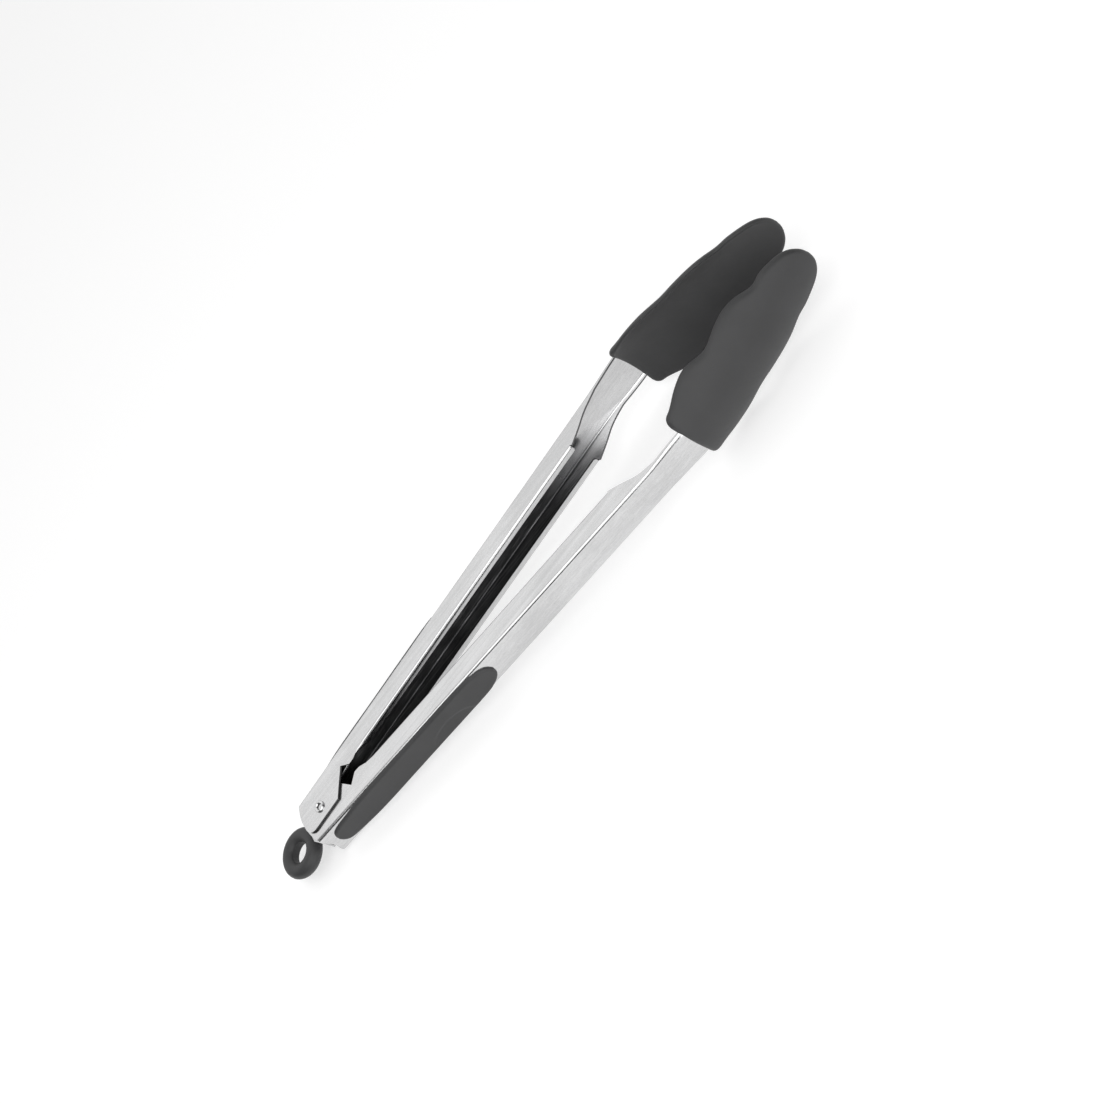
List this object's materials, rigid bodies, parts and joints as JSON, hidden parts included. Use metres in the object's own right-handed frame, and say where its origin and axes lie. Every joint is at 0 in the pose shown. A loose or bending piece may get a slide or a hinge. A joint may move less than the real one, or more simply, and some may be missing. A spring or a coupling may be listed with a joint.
{
  "type": "kitchen tongs",
  "caption": "Spring loaded locking kitchen tongs: nested steel channel arms, silicone scalloped heads and grips, pull ring lock at the pivot end.",
  "frame": {"origin": "middle of the hollow pivot rivet's bore", "axes": "+Z along the rivet; +X from the rivet towards the heads, midway between the arms at rest; +Y towards the outer arm"},
  "size_m": [0.3301, 0.059, 0.0372],
  "materials": {
    "steel": "polished stainless sheet with faint lengthwise brushing",
    "rivet_steel": "bright rolled rivet",
    "spring_steel": "drawn spring wire",
    "grip_silicone": "matte silicone",
    "head_silicone": "matte silicone",
    "ring_silicone": "matte silicone"
  },
  "bodies": {
    "outer_arm_body": {"outer_arm": "steel", "outer_grip": "grip_silicone", "outer_head_cover": "head_silicone", "pivot_rivet": "rivet_steel"},
    "inner_arm_body": {"inner_arm": "steel", "inner_grip": "grip_silicone", "inner_head_cover": "head_silicone"},
    "spring_body": {"torsion_spring": "spring_steel"},
    "lock_body": {"lock_bar": "steel", "pull_ring": "ring_silicone"}
  },
  "joints": [
    {"name": "arm_hinge", "type": "hinge", "parent": "outer_arm_body", "child": "inner_arm_body", "pos_m": [0, 0, 0], "axis": [0, 0, -1], "range_deg": [-4, 24], "stiffness_Nm_per_rad": 0.12, "springref_deg": 51.57, "deforming": ["torsion_spring"]},
    {"name": "spring_turn", "type": "hinge", "parent": "outer_arm_body", "child": "spring_body", "pos_m": [0, 0, 0], "axis": [0, 0, -1], "range_deg": [-2, 12]},
    {"name": "lock_slide", "type": "slide", "parent": "spring_body", "child": "lock_body", "axis": [1, 0, 0], "range_m": [0, 0.004]}
  ],
  "couplings": [
    {"joint": "spring_turn", "follows": "arm_hinge", "ratio": 0.5}
  ]
}
